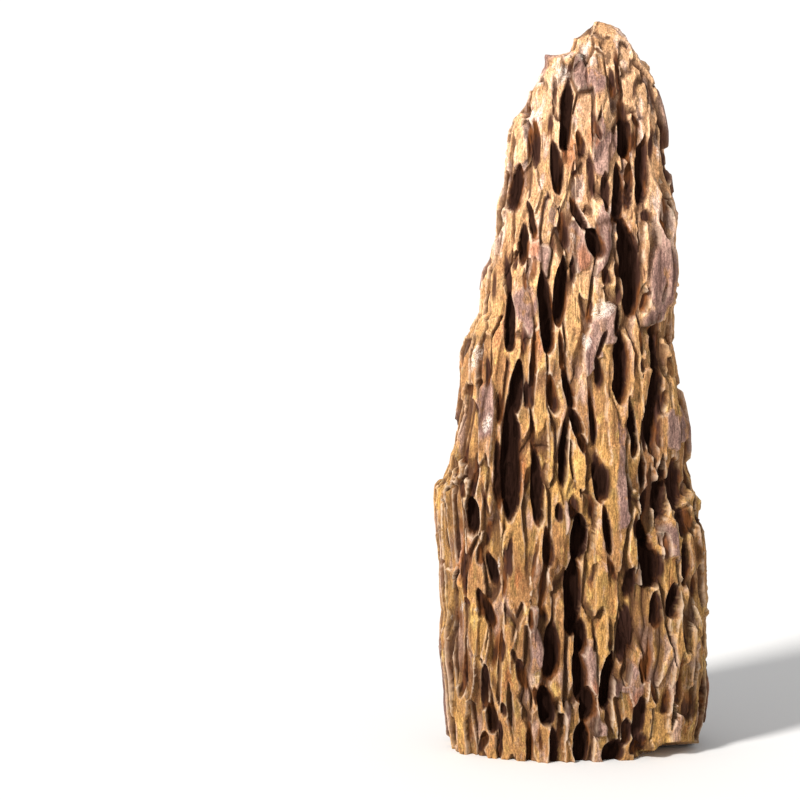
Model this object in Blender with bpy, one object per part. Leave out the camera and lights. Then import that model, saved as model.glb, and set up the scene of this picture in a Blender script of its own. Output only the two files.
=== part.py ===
"""Pine bark stone: one upright, tapering block of weathered clay stone.

Its skin is cut by upright slots like the fissures of pine bark, with sharp ribs between them.
The model is in metres, +Z up, and stands on its flat base with the broad face towards -Y.
"""

import math
import random

import bmesh
import bpy
import numpy as np

# Driving dimensions of the whole stone.
STONE_HEIGHT = 0.740
BASE_HALF_DEPTH = 0.084
SECTION_POWER = 2.5  # 2 is an ellipse, and more is squarer
SECTION_DEPTH = 0.62  # depth of an ordinary section by its width
BELOW_BASE = 0.008  # the skin goes on this far below the base, and is cut off there
OUTLINE_INSET = 0.0055  # what the weathering takes off the outline, given back
INSET_STOP = 0.92  # share of the height above which less is given back

# The face was read in photo pixels: the stone is this many high, and one spans this much of it.
FACE_PIXELS = 740
PIXEL = STONE_HEIGHT / FACE_PIXELS
MILLIMETRE = 0.001
FACE_MIDDLE_X = 576
FACE_BASE_Y = 761

# Outline of the face in photo pixels: y, left edge x, right edge x, from the foot to the tip.
OUTLINE = (
    (761, 454, 707), (748, 452, 711), (731, 451, 713), (706, 449, 714), (687, 448, 712),
    (662, 445, 710), (643, 445, 709), (622, 447, 708), (600, 443, 708), (556, 441, 707),
    (527, 438, 705), (505, 437, 702), (492, 438, 694), (478, 446, 692), (468, 451, 690),
    (447, 454, 690), (428, 458, 689), (408, 462, 685), (388, 464, 680), (355, 464, 675),
    (332, 470, 671), (310, 483, 671), (292, 484, 676), (272, 486, 677), (259, 493, 676),
    (242, 496, 674), (224, 501, 677), (211, 501, 676), (190, 506, 671), (152, 507, 665),
    (130, 509, 665), (117, 514, 663), (104, 527, 660), (90, 532, 656), (78, 544, 651),
    (67, 549, 645), (56, 553, 638), (50, 574, 634), (36, 577, 626), (28, 589, 618),
    (21, 594, 603),
)

# Depth of the section by height: share of the height, front and back as shares of the base's.
DEPTH_BY_HEIGHT = (
    (0.00, 0.91, 0.95), (0.05, 0.98, 1.00), (0.19, 1.00, 0.97), (0.23, 0.93, 1.00),
    (0.36, 0.95, 0.90), (0.42, 0.85, 0.93), (0.56, 0.83, 0.82), (0.61, 0.72, 0.80),
    (0.73, 0.70, 0.64), (0.78, 0.58, 0.63), (0.87, 0.53, 0.47), (0.91, 0.42, 0.43),
    (0.96, 0.30, 0.27), (1.00, 0.09, 0.09),
)

# Slots of the face in photo pixels: top x, y, bottom x, y, width, then depth in millimetres.
FACE_SLOTS = (
    # the tip
    (566, 72, 562, 150, 12, 18), (612, 40, 617, 92, 5, 9), (606, 60, 611, 95, 7, 9),
    (618, 88, 621, 118, 6, 12), (621, 108, 625, 160, 12, 20), (588, 104, 599, 136, 5, 8),
    (576, 122, 581, 156, 6, 11), (549, 104, 547, 135, 5, 8), (549, 135, 557, 190, 9, 16),
    (532, 112, 534, 166, 6, 11), (631, 105, 639, 128, 6, 10), (647, 130, 640, 200, 11, 17),
    (630, 148, 627, 206, 8, 12), (657, 126, 656, 158, 5, 8), (587, 142, 593, 198, 5, 9),
    (585, 156, 571, 173, 5, 9), (569, 60, 565, 74, 5, 8),
    (528, 118, 528, 160, 5, 8), (553, 72, 554, 104, 4, 7), (593, 48, 596, 70, 3, 5),
    (584, 62, 584, 92, 2, 4), (579, 59, 572, 72, 3, 4), (607, 42, 603, 62, 5, 6),
    (636, 70, 633, 98, 4, 7), (635, 124, 633, 152, 8, 9), (643, 64, 659, 112, 8, 7),
    (663, 108, 663, 150, 6, 7),
    # the shoulders
    (518, 158, 507, 210, 10, 15), (524, 192, 534, 234, 7, 13), (519, 216, 521, 262, 9, 14),
    (503, 248, 508, 300, 6, 11), (509, 286, 507, 349, 11, 20), (542, 260, 546, 347, 10, 20),
    (562, 250, 558, 321, 12, 18), (571, 250, 574, 278, 5, 12), (559, 198, 564, 249, 7, 12),
    (569, 190, 584, 224, 7, 14), (585, 220, 596, 254, 10, 18), (603, 166, 607, 206, 7, 12),
    (616, 158, 619, 218, 9, 18), (621, 205, 633, 314, 16, 25), (616, 232, 622, 258, 6, 9),
    (611, 256, 620, 274, 7, 12), (603, 258, 606, 280, 6, 11), (613, 274, 619, 302, 5, 8),
    (646, 200, 647, 216, 9, 9), (668, 178, 671, 212, 8, 6), (494, 260, 491, 300, 6, 7),
    (524, 260, 526, 283, 4, 7), (513, 248, 513, 264, 4, 7), (552, 232, 554, 248, 4, 6),
    (535, 250, 533, 276, 5, 7), (650, 280, 645, 308, 5, 9), (665, 276, 662, 298, 3, 6),
    (661, 204, 668, 238, 6, 9), (593, 214, 595, 236, 3, 6), (573, 316, 573, 336, 3, 5),
    (613, 206, 613, 228, 3, 6),
    # the upper middle
    (522, 318, 522, 348, 5, 8), (533, 316, 532, 402, 6, 12), (519, 350, 513, 410, 12, 20),
    (508, 385, 508, 515, 14, 24), (526, 374, 527, 404, 6, 12), (549, 366, 555, 410, 6, 13),
    (559, 320, 563, 364, 6, 12), (563, 358, 571, 400, 7, 14), (569, 394, 579, 434, 7, 14),
    (577, 426, 587, 448, 8, 12), (565, 408, 562, 480, 8, 17), (588, 378, 595, 442, 6, 13),
    (607, 320, 597, 352, 6, 9), (596, 346, 600, 384, 7, 13), (620, 320, 622, 400, 12, 19),
    (616, 298, 617, 328, 6, 12), (636, 338, 635, 372, 5, 8), (661, 304, 656, 450, 11, 20),
    (663, 318, 665, 368, 5, 10), (669, 384, 665, 412, 6, 9), (631, 388, 637, 452, 8, 16),
    (481, 348, 485, 387, 5, 10), (470, 398, 476, 410, 6, 8), (590, 293, 589, 314, 5, 10),
    (643, 318, 643, 350, 4, 8), (643, 352, 645, 368, 5, 8), (675, 354, 679, 376, 4, 6),
    (506, 350, 506, 364, 4, 6), (616, 370, 615, 390, 3, 7), (499, 384, 496, 420, 6, 12),
    (530, 404, 533, 446, 5, 11), (650, 392, 649, 448, 5, 11), (666, 410, 665, 442, 4, 8),
    (466, 380, 464, 398, 4, 6), (645, 384, 642, 398, 3, 5),
    # the lower middle
    (475, 450, 471, 492, 6, 11), (470, 486, 469, 535, 12, 20), (464, 442, 463, 464, 5, 8),
    (456, 458, 454, 478, 6, 9), (458, 478, 460, 494, 7, 9), (496, 428, 498, 504, 7, 14),
    (536, 436, 538, 522, 10, 19), (560, 491, 559, 515, 6, 13), (581, 505, 577, 556, 13, 22),
    (575, 546, 570, 634, 15, 25), (592, 485, 590, 514, 5, 11), (605, 496, 610, 548, 7, 15),
    (597, 446, 602, 497, 11, 16), (628, 464, 630, 503, 5, 10), (645, 446, 646, 484, 9, 15),
    (653, 480, 648, 514, 7, 14), (645, 505, 646, 562, 14, 23), (648, 540, 652, 586, 16, 22),
    (668, 446, 665, 519, 9, 17), (683, 450, 682, 504, 14, 12), (686, 498, 687, 534, 11, 11),
    (687, 532, 686, 588, 8, 16), (460, 543, 461, 582, 5, 9), (486, 546, 494, 582, 8, 15),
    (507, 532, 504, 592, 5, 9), (545, 520, 549, 565, 8, 14), (546, 560, 541, 602, 5, 10),
    (675, 578, 674, 615, 10, 16), (659, 586, 659, 627, 7, 15),
    (484, 446, 486, 466, 3, 6), (480, 474, 488, 514, 4, 7), (489, 514, 484, 546, 5, 9),
    (479, 538, 480, 562, 6, 9), (455, 512, 456, 538, 4, 6), (527, 458, 527, 486, 4, 6),
    (512, 524, 510, 574, 6, 9), (531, 542, 526, 572, 3, 6), (537, 526, 532, 576, 4, 7),
    (572, 484, 575, 514, 7, 10), (653, 464, 654, 482, 4, 7), (638, 504, 637, 534, 5, 9),
    (606, 546, 616, 578, 5, 9), (597, 556, 592, 580, 4, 7), (665, 528, 669, 562, 5, 7),
    (693, 498, 695, 532, 4, 7), (699, 538, 704, 560, 4, 6), (697, 564, 698, 602, 6, 9),
    # the foot
    (465, 597, 465, 608, 6, 8), (540, 598, 546, 618, 6, 10), (483, 586, 491, 628, 8, 14),
    (582, 608, 580, 654, 10, 20), (577, 642, 581, 702, 9, 20), (591, 684, 587, 720, 13, 18),
    (585, 714, 583, 764, 13, 20), (552, 610, 551, 678, 10, 17), (545, 677, 549, 723, 14, 22),
    (519, 655, 529, 684, 8, 11), (501, 626, 504, 660, 6, 10), (484, 662, 481, 710, 10, 14),
    (488, 701, 489, 734, 8, 14), (503, 701, 503, 714, 7, 10), (483, 730, 478, 758, 7, 12),
    (531, 718, 530, 766, 6, 12), (555, 720, 556, 766, 8, 14), (613, 644, 608, 708, 12, 20),
    (628, 590, 623, 660, 14, 12), (646, 690, 640, 746, 14, 12), (641, 738, 641, 764, 15, 10),
    (616, 735, 615, 766, 18, 16), (654, 678, 661, 707, 5, 8), (643, 652, 648, 682, 5, 9),
    (672, 686, 669, 724, 6, 9), (682, 648, 683, 710, 7, 9), (701, 686, 700, 748, 22, 12),
    (463, 572, 464, 598, 4, 8), (478, 582, 481, 614, 7, 11), (515, 594, 518, 614, 3, 6),
    (531, 598, 533, 624, 4, 8), (497, 634, 493, 668, 6, 10), (465, 640, 460, 700, 5, 8),
    (449, 606, 456, 636, 4, 6), (493, 666, 496, 694, 4, 6), (513, 640, 519, 662, 4, 7),
    (536, 678, 539, 702, 6, 11), (541, 722, 544, 752, 4, 8), (455, 688, 451, 722, 4, 6),
    (497, 718, 498, 760, 5, 10), (466, 716, 465, 748, 4, 7), (596, 630, 595, 648, 4, 7),
    (610, 630, 612, 646, 4, 7), (634, 562, 629, 592, 10, 14), (654, 632, 650, 684, 5, 7),
    (684, 600, 687, 652, 7, 10), (700, 648, 699, 684, 5, 9), (630, 716, 628, 748, 8, 12),
    (612, 698, 611, 722, 5, 8),
)

# Patches of the face where the old skin is still whole: middle x, y, half width, half length.
SKIN_PATCHES = (
    (584, 76, 13, 18), (603, 140, 10, 26), (577, 232, 7, 24), (543, 252, 9, 17),
    (606, 228, 7, 26), (664, 270, 9, 32), (594, 268, 8, 14), (526, 294, 11, 20),
    (600, 322, 17, 14), (590, 352, 6, 20), (653, 316, 7, 9), (485, 402, 8, 26),
    (684, 426, 12, 16), (624, 436, 7, 30), (620, 482, 8, 30), (567, 506, 5, 18),
    (672, 538, 9, 22), (536, 642, 8, 24), (590, 664, 7, 20), (630, 682, 14, 22),
    (568, 712, 6, 34), (602, 726, 8, 12), (646, 576, 8, 8),
)

FACE_TURN = (-0.05, 0.20)  # the face's slots fade out between these two turns towards -Y

# Slots of the sides and the back, scattered by rule.
SCATTER_SEED = 41
SCATTER_TRIES = 6000
SCATTER_WIDTH = (0.008, 0.015)
SCATTER_LENGTH = (0.040, 0.110)
SCATTER_LEAN = 5  # degrees
SCATTER_DEPTH = 1.7  # by its width
SCATTER_FROM = -0.30  # the normal's y where these slots start
SCATTER_FACING = 0.30  # how much the skin must face as its slot does
SIDE_SPACING = 0.72  # of two slots' widths, across
END_SPACING = 0.004

# Shape of one slot, its walls by its width.
SLOT_WIDEN = 1.50  # a slot's mouth by the dark width that shows
LEFT_WALL = 0.30
RIGHT_WALL = 0.25
RAMP_SHARE = 0.25  # how far the right wall reaches past the slot
POINTED_END = 1.7
BLUNT_END = 3.5
END_DEPTH_POWER = 0.4
DEEPEST_SHARE = 0.36  # of the half width of the section at that height

# The ribs between the slots: long cells side by side, some of them hollowed.
RIB_SIZE = (0.014, 0.014, 0.090)
RIB_STEP = 0.0065  # how far one rib can stand behind the next
HOLLOW_DEPTH = 0.0080
HOLLOW_EDGE = 0.55
HOLLOWED = (0.30, 0.90)  # chance between which a rib is hollowed, not at all and fully
CHANCE_TURNS = 7  # turns one chance of a rib into another
FOOT_SHARE = 0.45  # how deep a hollow is at its foot, and where along the rib it deepens
FOOT_SLOPE = (-0.7, 0.5)
LEFT_SHARE = 0.45  # how much deeper a hollow is on its left, up to this far from its middle
LEFT_REACH = 0.6
WHOLE_SKIN = 0.12  # depth left where the old skin is whole
BACK_SKIN = (0.80, 0.88)  # chance from which a rib away from the face is whole skin
BACK_SKIN_TURN = (-0.4, -0.1)  # the normal's y where that starts
PATCH_EDGE = (0.75, 1.15)

# Large plates of the skin, each raised or sunk by chance, with a ledge where two meet.
PLATE_SIZE = (0.060, 0.060, 0.170)
PLATE_STEP = 0.0100
PLATE_WANDER = 2.5
PLATE_EDGE_PASSES = 3
OUTLINE_KEPT = 0.75  # how much of that is left out where the skin turns to the side
OUTLINE_POWER = 3
SWELL_WIDTH = 0.03  # half width of the tip below which the plates and swells die away

# The hollows drift to the left and up as they go in, so that the skin leans over them.
DRIFT = 0.25
RISE = 0.15
STRAIGHT_FOOT = (0.02, 0.08)  # shares of the height between which this starts
STRAIGHT_TIP = (0.82, 0.96)  # and stops

# Unevenness of the whole skin: the size of the lumps and how far each layer moves it.
SWELLS = (((0.100, 0.100, 0.150), 0.0080), ((0.030, 0.030, 0.070), 0.0024))
WANDER_ACROSS = (((0.022, 0.022, 0.050), 0.0030), ((0.007, 0.007, 0.016), 0.0012))
WANDER_ALONG = (((0.020, 0.020, 0.030), 0.0050), ((0.007, 0.007, 0.010), 0.0016))

# Underside: flat, but broken away on the right.
LIFT_START_X = 0.055
LIFT_END_X = 0.105
LIFT = 0.026
LIFT_REACH = 0.070

ROWS = 560
COLUMNS = 440
ANGLE_STEPS = 20001
EVENING_PASSES = 12
TRIANGLES = 9600

STONE_COLOUR = (0.36, 0.20, 0.09, 1.0)
STONE_ROUGHNESS = 0.85

NOISE_GAIN = 1.5  # brings the noise to about -1 to 1
LATTICE_FACTORS = (374761393, 668265263, 1442695041)
CHANCE_SEED_STEP = 7
LAYER_SEED_STEP = 10
RIB_SEED = 5
ACROSS_SEED = 11
ALONG_SEED = 51
SWELL_SEED = 91
PLATE_SEED = 131


def smooth_step(low, high, value):
    share = np.clip((value - low) / (high - low), 0.0, 1.0)
    return share * share * (3 - 2 * share)


def signed_power(value, power):
    return np.sign(value) * np.abs(value) ** power


def lattice(cell, seed):
    """One random number from 0 to 1 for each whole-number point."""
    mixed = sum(place * factor for place, factor in zip(cell, LATTICE_FACTORS)) & 0xFFFFFFFF
    mixed = (mixed + seed * 40503) & 0xFFFFFFFF
    mixed = ((mixed ^ (mixed >> 13)) * 1274126177) & 0xFFFFFFFF
    mixed = ((mixed ^ (mixed >> 15)) * 2246822519) & 0xFFFFFFFF
    return ((mixed ^ (mixed >> 16)) & 0xFFFFFF) / 0xFFFFFF


def soft_noise(points, size, seed):
    """Smooth noise from about -1 to 1 at each point, in lumps of that size along each axis."""
    scaled = points / np.array(size)
    whole = np.floor(scaled).astype(np.int64)
    part = scaled - whole
    blend = part ** 3 * (part * (part * 6 - 15) + 10)
    total = np.zeros(points.shape[:-1])
    for step in np.ndindex(2, 2, 2):
        cell = [whole[..., axis] + step[axis] for axis in range(3)]
        weight = NOISE_GAIN
        slope = 0.0
        for axis in range(3):
            weight = weight * (blend[..., axis] if step[axis] else 1 - blend[..., axis])
            slope = slope + (lattice(cell, seed + axis) * 2 - 1) * (part[..., axis] - step[axis])
        total += weight * slope
    return total


def layered_noise(points, layers, seed):
    return sum(
        height * soft_noise(points, size, seed + LAYER_SEED_STEP * i)
        for i, (size, height) in enumerate(layers)
    )


def long_cells(points, size, right, seed):
    """For each point: how far it is inside its cell, its place across and along, and its chance."""
    scaled = points / np.array(size)
    whole = np.floor(scaled).astype(np.int64)
    nearest = np.full(points.shape[:-1], np.inf)
    second = nearest.copy()
    across, along, chance = (np.zeros(nearest.shape) for _ in range(3))
    for step in np.ndindex(3, 3, 3):
        cell = [whole[..., axis] + step[axis] - 1 for axis in range(3)]
        apart = [scaled[..., axis] - cell[axis] - lattice(cell, seed + axis) for axis in range(3)]
        gap = np.sqrt(apart[0] ** 2 + apart[1] ** 2 + apart[2] ** 2)
        closer = gap < nearest
        second = np.where(closer, nearest, np.minimum(second, gap))
        nearest = np.where(closer, gap, nearest)
        across = np.where(closer, apart[0] * right[..., 0] + apart[1] * right[..., 1], across)
        along = np.where(closer, apart[2], along)
        chance = np.where(closer, lattice(cell, seed + CHANCE_SEED_STEP), chance)
    return second - nearest, across, along, chance


def face_x(pixel_x):
    return (pixel_x - FACE_MIDDLE_X) * PIXEL


def face_z(pixel_y):
    return (FACE_BASE_Y - pixel_y) * PIXEL


def section_angles(count):
    """Angles that share out one ordinary section's outline evenly."""
    fine = np.linspace(-math.pi, math.pi, ANGLE_STEPS)
    x = signed_power(np.cos(fine), 2 / SECTION_POWER)
    y = SECTION_DEPTH * signed_power(np.sin(fine), 2 / SECTION_POWER)
    walked = np.concatenate([[0.0], np.cumsum(np.hypot(np.diff(x), np.diff(y)))])
    return np.interp(np.arange(count) / count * walked[-1], walked, fine)


def body_grid():
    """The stone before it weathered: rings of points from the base up, and each one's half width."""
    outline = np.array(OUTLINE, float)
    heights = face_z(outline[:, 0])
    z = np.linspace(-BELOW_BASE, STONE_HEIGHT, ROWS)
    inset = OUTLINE_INSET * (1 - smooth_step(INSET_STOP, 1.0, z / STONE_HEIGHT))
    left = np.interp(z, heights, face_x(outline[:, 1])) - inset
    right = np.interp(z, heights, face_x(outline[:, 2])) + inset
    shares = np.array(DEPTH_BY_HEIGHT)
    front = BASE_HALF_DEPTH * np.interp(z / STONE_HEIGHT, shares[:, 0], shares[:, 1])
    back = BASE_HALF_DEPTH * np.interp(z / STONE_HEIGHT, shares[:, 0], shares[:, 2])

    angle = section_angles(COLUMNS)
    across = signed_power(np.cos(angle), 2 / SECTION_POWER)
    inward = signed_power(np.sin(angle), 2 / SECTION_POWER)
    grid = np.empty((ROWS, COLUMNS, 3))
    grid[..., 0] = ((left + right) / 2)[:, None] + ((right - left) / 2)[:, None] * across
    grid[..., 1] = np.where(inward < 0, front[:, None] * inward, back[:, None] * inward)
    grid[..., 2] = z[:, None]
    return grid, np.minimum((right - left) / 2, (front + back) / 2)


def outward_normals(grid):
    """Normals of the unweathered stone, evened out from ring to ring."""
    for _ in range(EVENING_PASSES):
        padded = np.pad(grid, ((1, 1), (0, 0), (0, 0)), mode="edge")
        grid = (padded[:-2] + 2 * padded[1:-1] + padded[2:]) / 4
    around = np.roll(grid, -1, axis=1) - np.roll(grid, 1, axis=1)
    normal = np.cross(around, np.gradient(grid, axis=0))
    return normal / np.linalg.norm(normal, axis=2, keepdims=True)


def slot_profile(across, along, width, half_length):
    """Depth of one slot as a share of its deepest.

    It is blunt below and pointed above, steep on the left and ramped on the right.
    """
    place = along / half_length
    end = 1 - np.abs(place) ** np.where(place > 0, POINTED_END, BLUNT_END)
    end = np.clip(end, 0.0, 1.0)
    half = width / 2 * np.sqrt(end)
    left = smooth_step(-half, LEFT_WALL * width - half, across)
    right = 1 - smooth_step(half - RIGHT_WALL * width, half + RAMP_SHARE * width * end, across)
    return left * right * end ** END_DEPTH_POWER


def face_slot_depth(grid, normal, wander):
    """Depth of the slots that were read from the face, as they are seen from the front."""
    depth = np.zeros(grid.shape[:2])
    x = grid[..., 0] + wander[0]
    z = grid[..., 2] + wander[1]
    facing = smooth_step(*FACE_TURN, -normal[..., 1])
    for top_x, top_y, bottom_x, bottom_y, width, deep in FACE_SLOTS:
        axis = np.array([face_x(top_x) - face_x(bottom_x), face_z(top_y) - face_z(bottom_y)])
        half_length = np.linalg.norm(axis) / 2
        axis /= 2 * half_length
        near_x = x - (face_x(top_x) + face_x(bottom_x)) / 2
        near_z = z - (face_z(top_y) + face_z(bottom_y)) / 2
        along = near_x * axis[0] + near_z * axis[1]
        across = near_x * axis[1] - near_z * axis[0]
        share = slot_profile(across, along, SLOT_WIDEN * width * PIXEL, half_length)
        np.maximum(depth, share * facing * deep * MILLIMETRE, out=depth)
    return depth


def scattered_slots(grid, normal):
    """Middles, normals and sizes of the slots on the sides and the back, none too near another."""
    chance = random.Random(SCATTER_SEED)
    placed = []
    for _ in range(SCATTER_TRIES):
        row = int(chance.random() * (len(grid) - 1))
        column = int(chance.random() * grid.shape[1])
        width = chance.uniform(*SCATTER_WIDTH)
        length = chance.uniform(*SCATTER_LENGTH)
        lean = math.radians(chance.gauss(0, SCATTER_LEAN))
        middle = grid[row, column]
        if normal[row, column, 1] < SCATTER_FROM:
            continue
        clear = all(
            math.hypot(*(middle - other)[:2]) > (width + other_width) * SIDE_SPACING
            or abs(middle[2] - other[2]) > (length + other_length) / 2 + END_SPACING
            for other, _, other_width, other_length, _ in placed
        )
        if clear:
            placed.append((middle, normal[row, column], width, length, lean))
    return placed


def scattered_slot_depth(grid, normal, wander):
    depth = np.zeros(grid.shape[:2])
    for middle, out, width, length, lean in scattered_slots(grid, normal):
        flat = np.array([out[0], out[1], 0.0]) / math.hypot(out[0], out[1])
        right = np.array([-flat[1], flat[0], 0.0])
        apart = grid - middle
        near_x = apart @ right + wander[0]
        near_z = apart[..., 2] + wander[1]
        across = near_x * math.cos(lean) - near_z * math.sin(lean)
        along = near_x * math.sin(lean) + near_z * math.cos(lean)
        share = slot_profile(across, along, width, length / 2)
        share = np.where(normal @ flat > SCATTER_FACING, share, 0.0)
        np.maximum(depth, share * width * SCATTER_DEPTH, out=depth)
    return depth


def whole_skin(grid, normal, wander, chance):
    """Where the old skin is still whole, from 0 to 1."""
    skin = smooth_step(*BACK_SKIN, chance) * smooth_step(*BACK_SKIN_TURN, normal[..., 1])
    for patch_x, patch_y, half_across, half_along in SKIN_PATCHES:
        near = np.hypot(
            (grid[..., 0] + wander[0] - face_x(patch_x)) / (half_across * PIXEL),
            (grid[..., 2] + wander[1] - face_z(patch_y)) / (half_along * PIXEL),
        )
        inside = np.where(normal[..., 1] < 0, 1 - smooth_step(*PATCH_EDGE, near), 0.0)
        skin = np.maximum(skin, inside)
    return skin


def rib_depth(grid, normal, wander):
    """How far each rib stands back, and the hollows in them, deepest on their upper left."""
    right = np.stack([-normal[..., 1], normal[..., 0]], axis=-1)
    moved = grid + np.stack([wander[0], wander[0], wander[1]], axis=-1)
    inside, across, along, chance = long_cells(moved, RIB_SIZE, right, RIB_SEED)
    hollow = np.clip(inside / HOLLOW_EDGE, 0.0, 1.0)
    hollow *= (2 - hollow) * smooth_step(*HOLLOWED, chance * CHANCE_TURNS % 1)
    slope = FOOT_SHARE + (1 - FOOT_SHARE) * smooth_step(*FOOT_SLOPE, along)
    slope *= 1 - LEFT_SHARE * np.clip(across, -LEFT_REACH, LEFT_REACH)
    depth = RIB_STEP * chance + HOLLOW_DEPTH * hollow * slope
    skin = whole_skin(grid, normal, wander, chance)
    return depth * (1 - (1 - WHOLE_SKIN) * skin)


def evened(values, passes):
    """The values blurred from ring to ring and around each ring."""
    for _ in range(passes):
        padded = np.pad(values, ((1, 1), (0, 0)), mode="edge")
        values = (padded[:-2] + 2 * values + padded[2:]) / 4
        values = (np.roll(values, 1, axis=1) + 2 * values + np.roll(values, -1, axis=1)) / 4
    return values


def swell_height(grid, normal, wander, half_width):
    """How far the whole skin stands out in lumps and plates, less where the outline is drawn."""
    right = np.zeros((*grid.shape[:2], 2))
    moved = grid + PLATE_WANDER * np.stack([wander[0], wander[0], wander[1]], axis=-1)
    chance = long_cells(moved, PLATE_SIZE, right, PLATE_SEED)[3]
    height = PLATE_STEP * (0.5 - evened(chance, PLATE_EDGE_PASSES))
    height += layered_noise(grid, SWELLS, SWELL_SEED)
    height *= smooth_step(0.0, SWELL_WIDTH, half_width)[:, None]
    return height * (1 - OUTLINE_KEPT * np.abs(normal[..., 0]) ** OUTLINE_POWER)


def weathered_grid():
    """The rings of points after the hollows have been cut into them."""
    grid, half_width = body_grid()
    normal = outward_normals(grid)
    wander = (
        layered_noise(grid, WANDER_ACROSS, ACROSS_SEED),
        layered_noise(grid, WANDER_ALONG, ALONG_SEED),
    )

    depth = rib_depth(grid, normal, wander)
    depth = np.maximum(depth, face_slot_depth(grid, normal, wander))
    depth = np.maximum(depth, scattered_slot_depth(grid, normal, wander))
    deepest = DEEPEST_SHARE * half_width[:, None]
    depth = deepest * np.tanh(depth / deepest)

    height = grid[..., 2] / STONE_HEIGHT
    off_base = smooth_step(*STRAIGHT_FOOT, height)
    off_tip = 1 - smooth_step(*STRAIGHT_TIP, height)
    swell = swell_height(grid, normal, wander, half_width)
    inward = normal * (1, 1, 0) + normal * (0, 0, 1) * off_base[..., None]
    left = np.cross(normal, (0.0, 0.0, 1.0))
    drift = DRIFT * depth * off_tip
    result = grid - inward * (depth - swell)[..., None] + left * drift[..., None]
    result[..., 2] += RISE * depth * off_base * off_tip

    lift = LIFT * smooth_step(LIFT_START_X, LIFT_END_X, result[..., 0])
    result[..., 2] += lift * (1 - smooth_step(0.0, LIFT_REACH, grid[..., 2]))
    return result


def closed_mesh(name, grid):
    """The rings joined into one skin, with the foot and the tip closed by a fan each."""
    form = bmesh.new()
    rings = [[form.verts.new(point) for point in ring] for ring in grid]
    for lower, upper in zip(rings, rings[1:]):
        for i, corner in enumerate(lower):
            following = (i + 1) % len(lower)
            form.faces.new((corner, lower[following], upper[following], upper[i]))
    tip = form.verts.new(grid[-1].mean(axis=0))
    foot = form.verts.new(grid[0].mean(axis=0))
    for i, corner in enumerate(rings[-1]):
        form.faces.new((corner, rings[-1][(i + 1) % len(rings[-1])], tip))
    for i, corner in enumerate(rings[0]):
        form.faces.new((rings[0][(i + 1) % len(rings[0])], corner, foot))
    mesh = bpy.data.meshes.new(name)
    form.to_mesh(mesh)
    form.free()
    return mesh


def decimated(mesh, collection):
    """A copy of the mesh in large facets."""
    guide = bpy.data.objects.new("guide", mesh)
    collection.objects.link(guide)
    facets = guide.modifiers.new("facets", "DECIMATE")
    facets.ratio = TRIANGLES / (2 * len(mesh.polygons))
    evaluated = guide.evaluated_get(bpy.context.evaluated_depsgraph_get())
    result = bpy.data.meshes.new_from_object(evaluated)
    bpy.data.objects.remove(guide)
    return result


def cut_flat_below(mesh):
    """Cuts off everything below the base and closes the cut with one flat face."""
    form = bmesh.new()
    form.from_mesh(mesh)
    bmesh.ops.bisect_plane(
        form,
        geom=[*form.verts, *form.edges, *form.faces],
        plane_co=(0, 0, 0),
        plane_no=(0, 0, 1),
        clear_inner=True,
    )
    rim = [edge for edge in form.edges if edge.is_boundary]
    bmesh.ops.holes_fill(form, edges=rim, sides=0)
    bmesh.ops.recalc_face_normals(form, faces=form.faces)
    form.to_mesh(mesh)
    form.free()


def set_middle_at_origin(mesh):
    """Puts the origin under the middle of the stone's box, on the base."""
    corners = np.array([vertex.co for vertex in mesh.vertices])
    low = corners.min(axis=0)
    high = corners.max(axis=0)
    for vertex in mesh.vertices:
        vertex.co.x -= (low[0] + high[0]) / 2
        vertex.co.y -= (low[1] + high[1]) / 2


def stone_material():
    material = bpy.data.materials.new("ochre_stone")
    material.use_nodes = True
    shader = material.node_tree.nodes["Principled BSDF"]
    shader.inputs["Base Color"].default_value = STONE_COLOUR
    shader.inputs["Roughness"].default_value = STONE_ROUGHNESS
    shader.inputs["Metallic"].default_value = 0.0
    return material


def make_stone(collection):
    mesh = decimated(closed_mesh("skin", weathered_grid()), collection)
    mesh.name = "stone"
    cut_flat_below(mesh)
    set_middle_at_origin(mesh)
    mesh.materials.append(stone_material())
    stone = bpy.data.objects.new("stone", mesh)
    collection.objects.link(stone)


def main():
    for old in list(bpy.data.objects):
        bpy.data.objects.remove(old)
    collection = bpy.data.collections.new("pine_bark_stone")
    bpy.context.scene.collection.children.link(collection)
    make_stone(collection)


main()
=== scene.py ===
import math
import random

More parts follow.
